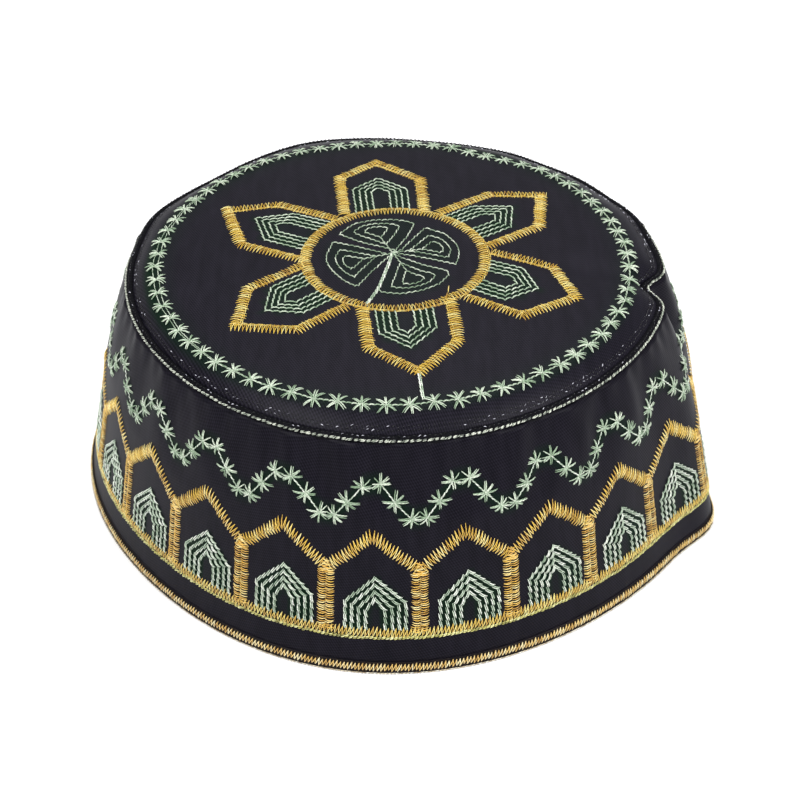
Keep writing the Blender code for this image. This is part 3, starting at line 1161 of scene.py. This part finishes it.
def rollGrid(name, stations, section, width, thread, seed):
    # a tube round the cap, whose section gives its places by angle and by turn
    sides = rollCut["sides"]
    angles = np.arange(stations + 1)[None] * 2 * pi / stations
    turns = np.arange(sides + 1)[:, None] * 2 * pi / sides
    flat = np.stack(np.broadcast_arrays(angles * width, turns / (2 * pi)), -1)
    rows = section(angles, turns)[:-1, :-1]
    piece = ringGrid(name, rows, flat, threads[thread], closedRows=True)
    tones = np.random.default_rng(seed).random(len(piece.data.vertices))
    pointAttribute(piece, "threadTone", tones)
    return piece


def seamSection(angle, turn):
    pinch = 1 - rollCut["seamPinch"] * (0.5 + 0.5 * np.cos(rollCut["seamPinches"] * angle))
    radius = cordRadius * 0.97 * pinch
    return seamPoint(angle, seamCorner - np.cos(turn) * radius, np.sin(turn) * radius - seamCorner)


def footPoint(angle, across, height):
    # a place in the edging's section: across the wall from its middle, and up
    share = height / form.seamHeight
    place = rawBand(angle, share)
    radius = np.linalg.norm(place[..., :2], axis=-1, keepdims=True)
    outward = place[..., :2] / radius
    shifted = place[..., :2] + outward * np.asarray(across - form.wall / 2)[..., None]
    level = np.broadcast_to(height, shifted.shape[:-1])[..., None]
    return np.concatenate((shifted, level), -1) + centre


def footSection(angle, turn):
    tall = form.edgingHeight / 2
    across = np.sign(np.cos(turn)) * np.abs(np.cos(turn)) ** 0.7 * edgingHalf
    height = tall + np.sign(np.sin(turn)) * np.abs(np.sin(turn)) ** 0.7 * (tall - 0.0001)
    return footPoint(*np.broadcast_arrays(angle, across, height))


def makeSeamRoll():
    piece = rollGrid("seamRoll", rollCut["stations"], seamSection, rollCut["seamMap"], "cord", 4)
    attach(piece, "root")
    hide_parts("seam_cord")


def makeFootRoll():
    stations, width = rollCut["footStations"], rollCut["footMap"]
    piece = rollGrid("footRoll", stations, footSection, width, "edging", 5)
    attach(piece, "root")
    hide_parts("rim_edging")


makeSeamRoll()
makeFootRoll()
print("rolls made")


# Gold work of the band

goldWork = {
    # half width in repeats, and the rungs' step and unevenness in mm
    "postHalf": 0.086,
    "rungStep": 0.71,
    "rungUneven": 0.11,
    # the patch where the slopes meet the post: its ends and its girths there
    "patchEnds": (30.6, 34.4),
    "patchGirths": (1.7, 0.85),
    # the slopes start and end beside the posts, in repeats
    "roofEnds": (0.03, 0.97),
    "rungs": running(11, 5.0, 0, 0, 0.25, 0.05, 0.28, 0.50, doubled=False),
    "patches": zigzag(15, 0.15, 1.02, 2.25, 0.245, 0.50),
    "roofs": zigzag(12, 0.16, 1.00, 3.6, 0.255, 0.48),
    "base": zigzag(13, 0.26, 0.98, 3.1, 0.27, 0.34),
    "loops": running(14, 1.05, 0.44, 0.30, 0.10, 0.22, 0.29, 0.26),
    "roofLean": (0.15, 0.55),
}


def makePosts():
    # rungs from each side meet in the post's middle
    chance = np.random.default_rng(11)
    heights = np.arange(pattern["baseHeight"] + 0.5, pattern["postTop"], goldWork["rungStep"])
    rungs, patches = [], []
    for k in repeats + pattern["postShift"]:
        for hand in (-1, 1):
            for height in heights + 0.2 * hand:
                inner, outer, reach = chance.normal(0, goldWork["rungUneven"], 3)
                middle = (k - hand * 0.004, height + inner)
                side = (k + hand * (goldWork["postHalf"] + reach / repeatWidth), height + outer)
                rungs.append(bandRun((middle, side)))
        low, high = goldWork["patchEnds"]
        for shift in (-0.006, 0.006):
            fill = bandRun(((k + shift, low + 20 * shift), (k + shift, high)))
            girths = np.linspace(*goldWork["patchGirths"], len(fill[0]))
            patches.append(asRun(fill[:2], 0.0, girths))
    sewRuns("bandPosts", rungs, goldWork["rungs"], "amber")
    sewRuns("postPatches", patches, goldWork["patches"], "amber")


def makeRoofs():
    runs = []
    foot, apex = pattern["junction"], pattern["apexHeight"]
    low, more = goldWork["roofLean"]
    start, end = goldWork["roofEnds"]
    for k in repeats + pattern["postShift"]:
        run = bandRun(((k + start, foot), (k + 0.5, apex), (k + end, foot)))
        share = np.linspace(-1, 1, len(run[0]))
        runs.append(asRun(run[:2], -np.sign(share) * (low + more * (1 - np.abs(share)) ** 2)))
    sewRuns("bandRoofs", runs, goldWork["roofs"], "gold")


def bandCircle(height):
    return asRun(bandSpot(np.linspace(-halfCount, halfCount, 1400), height), 0.25)


def makeBaseLine():
    line = bandCircle(pattern["baseHeight"] + 0.05)
    sewRuns("baseLine", [line], goldWork["base"], "lemon")
    sewRuns("baseLoops", [bandCircle(pattern["loopHeight"])], goldWork["loops"], "lime")


makePosts()
makeRoofs()
makeBaseLine()


# Mint work of the band

mintWork = {
    "arches": running(21, 1.8, 0.44, 0.24, 0.22, 0.08, 0.315, 0.38),
    "links": running(22, 1.1, 0.16, 0.08, 0.10, 0.03, 0.20, 0.18),
    "ringLinks": running(23, 1.4, 0, 0.08, 0.10, 0.04, 0.22, 0.18, doubled=False),
    "stars": {"Unevenness": 0.15 * mm, "Thickness": 0.33 * mm, "Rise": 0.34 * mm},
    "ringStars": {"Unevenness": 0.18 * mm, "Thickness": 0.32 * mm, "Seed": 51},
    # how far a pair's link sags, and how far an arm's two threads lie apart
    "linkSag": 0.9,
    "armSpread": 0.24,
    # arms of each kind: angle from the top, length in mm, threads; for the left one of a pair
    "arms": {
        "single": (
            ((6, 3.3, 2), (48, 2.9, 2), (86, 3.2, 2), (134, 1.7, 2), (182, 2.7, 2), (230, 2.5, 2))
            + ((273, 3.2, 2),)
        ),
        "lowPair": (
            ((10, 2.7, 2), (-92, 3.1, 2), (-130, 2.6, 2), (-176, 2.7, 2))
            + ((44, 2.6, 1), (136, 2.5, 1), (100, 2.3, 1), (78, 2.2, 1))
        ),
        "highPair": (
            ((-3, 2.8, 2), (-50, 2.8, 2), (-86, 2.9, 2), (172, 2.6, 2))
            + ((46, 2.7, 1), (118, 2.4, 1), (128, 2.5, 1), (92, 2.4, 1))
        ),
        "ring": ((-2, 2.6, 2), (45, 2.9, 2), (134, 2.9, 2), (181, 2.6, 2), (226, 2.9, 2), (315, 2.9, 2)),
    },
}


def makeArches():
    runs = []
    foot = pattern["archFoot"]
    for k in repeats + pattern["postShift"] + pattern["archMiddle"]:
        for half, shoulder, apex in pattern["arches"]:
            left, right = k - half, k + half
            corners = ((left, foot), (left, shoulder), (k, apex), (right, shoulder), (right, foot))
            runs += separateRuns(bandRun, corners)
    sewRuns("bandArches", runs, mintWork["arches"], "mint")


def armWires(arms, hand):
    # a small star of loose edges lying in its own plane, top towards +Y
    points, edges = [], []
    for angle, length, threadCount in arms:
        turn = radians(angle * hand)
        tip = np.array((sin(turn), cos(turn), 0.0)) * length * mm
        side = np.array((cos(turn), -sin(turn), 0.0)) * mintWork["armSpread"] * mm
        for shift in ((-1, 1) if threadCount == 2 else (0,)):
            points += [side * shift * 0.7 - tip * 0.06, tip + side * shift * 0.7]
            edges.append((len(points) - 2, len(points) - 1))
    return meshObject("starArms", points, [], edges=edges)


def sewStars(name, kind, hand, places, ups, aims, sizes):
    points = meshObject("starPlaces", places, [])
    pointAttribute(points, "up", ups, "FLOAT_VECTOR")
    pointAttribute(points, "aim", aims, "FLOAT_VECTOR")
    star = armWires(mintWork["arms"][kind], hand)
    sew(name, starStitch, points, {**mintWork["stars"], "Star": star, **sizes}, "star")
    bpy.data.objects.remove(star, do_unlink=True)


def makeBandStars():
    for seed, (kind, hand) in enumerate(sorted({row[2:] for row in pattern["stars"]}), 31):
        rows = [row[:2] for row in pattern["stars"] if row[2:] == (kind, hand)]
        steps = np.concatenate([repeats + pattern["postShift"] + repeat for repeat, _ in rows])
        heights = np.concatenate([np.full(len(repeats), height) for _, height in rows])
        places, ups = bandSpot(steps, heights)
        above, _ = bandSpot(steps, heights + 1)
        name = "bandStars" + kind[0].upper() + kind[1:] + ("A" if hand > 0 else "B")
        sewStars(name, kind, hand, places, ups, above - places, {"Seed": seed})


def makeStarLinks():
    runs = []
    ends = [row[:2] for row in pattern["stars"]]
    for k in repeats + pattern["postShift"]:
        line = [(k + repeat, height) for repeat, height in ends]
        line.append((k + 1 + ends[0][0], ends[0][1]))
        for start, end in zip(line[:-1], line[1:]):
            corners = (start, end)
            if start[1] == end[1]:
                sag = ((start[0] + end[0]) / 2, start[1] - mintWork["linkSag"])
                corners = (start, sag, end)
            runs += separateRuns(bandRun, corners)
    sewRuns("bandStarLinks", runs, mintWork["links"], "mint")


makeArches()
makeBandStars()
makeStarLinks()
print("band sewn")


# Crown work

crownWork = {
    "petalHalf": 1.5,
    "petalGround": 1.1,
    "ground": running(47, 2.2, 0.46, 0.12, 0.25, 0.10, 0.22, 0.08),
    "petals": zigzag(41, 0.16, 1.00, 3.6, 0.225, 0.38),
    "ring": zigzag(42, 0.16, 0.98, 3.2, 0.205, 0.38),
    "loose": running(46, 4.0, 0, 0, 0.2, 0, 0.28, 0.5, doubled=False),
    "lines": running(43, 1.8, 0.16, 0.18, 0.15, 0.09, 0.27, 0.26),
    "leaves": running(44, 1.6, 0.12, 0.14, 0.10, 0.09, 0.31, 0.26, doubled=False),
    "stem": running(45, 1.5, 0.46, 0.16, 0.4, 0.06, 0.38, 0.34),
}


def petalSides(petal):
    # each side is sewn by itself, and runs on past its corner to the outer edge of the next
    corners = np.asarray(petal, float)
    sides = unit(np.diff(corners, axis=0))
    runs = []
    for side, along in enumerate(sides):
        end = corners[side + 1]
        if side < len(sides) - 1:
            turn = np.arccos(np.clip(np.dot(along, sides[side + 1]), -1, 1))
            end = end + along * crownWork["petalHalf"] * np.tan(turn / 2)
        runs.append(crownRun((corners[side], end)))
    return runs


def ringRun(radius):
    turn = np.radians(np.linspace(0, 360, 500))
    x, y = crownPlan["ringMiddle"]
    return crownRun(np.stack((x + radius * np.sin(turn), y - radius * np.cos(turn)), -1))


def makePetals():
    petals, radius = crownPlan["petals"], crownPlan["ringRadius"]
    # a ground thread makes the petals' inner edges and the ring's outer edge dense
    ground = [ringRun(radius + crownPlan["ringEdge"])]
    ground += [crownRun(insetPetal(petal, (crownWork["petalGround"],) * 4)) for petal in petals]
    for name, runs, stitch in (
        ("crownPetals", [run for petal in petals for run in petalSides(petal)], "petals"),
        ("crownRing", [ringRun(radius)], "ring"),
        ("crownGround", ground, "ground"),
        ("looseThread", separateRuns(crownRun, crownPlan["looseThread"]), "loose"),
    ):
        sewRuns(name, runs, crownWork[stitch], "crownGold")


def makePetalLines():
    runs = []
    for petal, insets in zip(crownPlan["petals"], crownPlan["petalInsets"]):
        for line in range(crownPlan["petalLines"]):
            runs += separateRuns(crownRun, insetPetal(petal, nextInsets(insets, line)))
    sewRuns("crownArches", runs, crownWork["lines"], "star")


def makeClover():
    runs = []
    hub = np.array(crownPlan["stem"][0])
    for outline, middle in crownPlan["leaves"]:
        middle = np.array(middle)
        outline = np.array(outline)
        runs.append(crownRun((hub, *outline, hub)))
        stalk = [hub]
        for share in crownPlan["leafLines"][1:]:
            # the inner lines close on the stalk that comes out of the hub
            foot = middle + (hub - middle) * share
            loop = middle + (outline[1:] - middle) * share
            runs.append(crownRun((foot, *loop, foot)))
            stalk.append(foot)
        runs.append(crownRun(stalk))
    sewRuns("crownClover", runs, crownWork["leaves"], "star")
    stem = [crownRun(crownPlan["stem"]), crownRun(crownPlan["tail"])]
    sewRuns("cloverStem", stem, crownWork["stem"], "mint")


def makeCrownStars():
    # the stars stand further apart on the left
    count = crownPlan["starCount"]
    turns = np.radians(crownPlan["firstStar"] + np.linspace(0, 360, 721))
    density = 70.9 + bumps(turns, crownPlan["starCounts"])
    passed = np.append(0, np.cumsum((density[1:] + density[:-1]) / 2))
    angles = np.interp(np.arange(count) / count, passed / passed[-1], turns)
    wobble = 0.2 + bumps(angles, crownPlan["starBends"]) + 0.2 * np.sin(np.arange(count) * 2.4)
    radius = form.crownRing + wobble * mm
    places = crownSurface(angles, radius)
    ups = -surfaceNormal(crownSurface, angles, radius, crownProbe)
    aims = crownSurface(angles, radius + crownProbe) - places
    sewStars("crownStars", "ring", 1, places, ups, aims, mintWork["ringStars"])
    fine = np.linspace(0, 2 * pi, 800)
    smooth = np.interp(fine, np.append(angles - angles[0], 2 * pi), np.append(radius, radius[0]))
    fine = fine + angles[0]
    # two threads lie apart on the left and together elsewhere
    links = []
    for hand in (-1, 1):
        line = smooth + hand * (0.0001 + 0.0006 * bell(fine, -85, 26))
        normals = -surfaceNormal(crownSurface, fine, line, crownProbe)
        links.append(asRun((crownSurface(fine, line), normals)))
    sewRuns("crownStarLinks", links, mintWork["ringLinks"], "star")


makePetals()
makePetalLines()
makeClover()
makeCrownStars()
print("crown sewn")


# Seam chain, the row of stitches inside it, and the overlocked edge

edgeWork = {
    "chain": running(61, 1.50, 0.30, 0.10, -0.55, 0.10, 0.27, 0.22),
    "crossings": running(65, 1.04, 0, 0.22, -0.45, 0.14, 0.25, 0.30, doubled=False),
    "glints": running(62, 1.25, 0, 0.05, -0.65, 0.28, 0.19, 0.12, doubled=False),
    "teeth": zigzag(63, 0.20, 0.96, 2.15, 0.28, 0.18),
    "lip": running(64, 0.95, 0.20, 0.2, -0.10, 0.05, 0.30, 0.10),
    # in metres: the teeth's height and one above it, and the lip's height
    "teethHeights": (0.0024, 0.0030),
    "lipHeight": 0.00052,
}
roundTurn = np.linspace(0, 2 * pi, 1500)


def seamRun(tilt):
    # along the seam's roll, by the angle up from its outermost line
    middle = seamPoint(roundTurn, seamCorner, -seamCorner)
    inward, up = seamCorner - cordRadius * np.cos(tilt), cordRadius * np.sin(tilt) - seamCorner
    places = seamPoint(roundTurn, inward, up)
    return asRun((places, unit(places - middle)))


def makeSeamStitches():
    # the chain lies lower round the back, where the seam hides it
    tilt = radians(30) - radians(42) * ease((-np.cos(roundTurn - radians(4)) - 0.02) / 0.25)
    chain = [seamRun(tilt)]
    sewRuns("seamChain", chain, edgeWork["chain"], "pale")
    sewRuns("seamCrossings", chain, edgeWork["crossings"], "pale")
    # two rows on the crown's margin and one on the roll, in black thread with painted glints
    edge = crownPoint(roundTurn, 2.0)
    glints = [seamRun(radians(78))]
    for share in (1.82, 1.92):
        inner = crownPoint(roundTurn, share)
        glints.append(asRun((inner, unit(np.cross(np.gradient(inner, axis=0), inner - edge)))))
    sewRuns("seamGlints", glints, edgeWork["glints"], "glint")


def footLine(across, height):
    return footPoint(roundTurn, np.full_like(roundTurn, across), np.full_like(roundTurn, height))


def makeEdgeStitches():
    for name, hand in (("rimTeeth", 1), ("rimTeethInside", -1)):
        places, high = (footLine(hand * edgingHalf, height) for height in edgeWork["teethHeights"])
        ups = hand * unit(np.cross(np.gradient(places, axis=0), high - places))
        sizes = {**edgeWork["teeth"], "Seed": 63 + hand}
        sewRuns(name, [asRun((places, ups), 0.3)], sizes, "flax")
    places = footLine(edgingHalf * 0.86, edgeWork["lipHeight"])
    ups = unit(places - footLine(edgingHalf * 0.3, 0.0012))
    sewRuns("rimLip", [asRun((places, ups))], edgeWork["lip"], "lip")


makeSeamStitches()
makeEdgeStitches()
print("edges sewn")


# Floor, light and camera

studio = {
    "floorColour": (0.86, 0.86, 0.87),
    "world": 0.48,
    # place, size, power, aimed at the cap
    "lights": (
        ((-0.75, -0.65, 1.10), 0.8, 20.0),
        ((0.85, -0.55, 0.85), 0.7, 15.0),
        ((0.10, 0.70, 1.35), 1.0, 9.0),
    ),
    "cameraPlace": (0.001061, -0.40897, 0.341756),
    "cameraDown": 38.124,
    "cameraRoll": -0.963,
    "lens": 80.52,
}


def makeStudio():
    reach = 3.0
    corners = [(-reach, -reach, 0), (reach, -reach, 0), (reach, reach, 0), (-reach, reach, 0)]
    floor = meshObject("floor", corners, [(0, 1, 2, 3)])
    material, _, shader = newMaterial("paleFloor", 0.7)
    shader.inputs["Base Color"].default_value = (*studio["floorColour"], 1)
    floor.data.materials.append(material)
    world = bpy.data.worlds.new("studioWorld")
    world.use_nodes = True
    world.node_tree.nodes["Background"].inputs["Color"].default_value = (1, 1, 1, 1)
    world.node_tree.nodes["Background"].inputs["Strength"].default_value = studio["world"]
    bpy.context.scene.world = world
    bpy.context.scene.view_settings.view_transform = "Standard"
    for number, (place, size, power) in enumerate(studio["lights"]):
        data = bpy.data.lights.new(f"softLight{number}", "AREA")
        data.shape = "DISK"
        data.size = size
        data.energy = power
        light = bpy.data.objects.new(data.name, data)
        light.location = place
        light.rotation_euler = (-light.location).to_track_quat("-Z", "Y").to_euler()
        bpy.context.scene.collection.objects.link(light)
    data = bpy.data.cameras.new("photoCamera")
    data.lens = studio["lens"]
    data.sensor_width = 36
    camera = bpy.data.objects.new("photoCamera", data)
    down = Matrix.Rotation(radians(90 - studio["cameraDown"]), 4, "X")
    turn = down @ Matrix.Rotation(radians(studio["cameraRoll"]), 4, "Z")
    camera.matrix_world = Matrix.Translation(studio["cameraPlace"]) @ turn
    bpy.context.scene.collection.objects.link(camera)
    bpy.context.scene.camera = camera


makeStudio()
print("studio made")
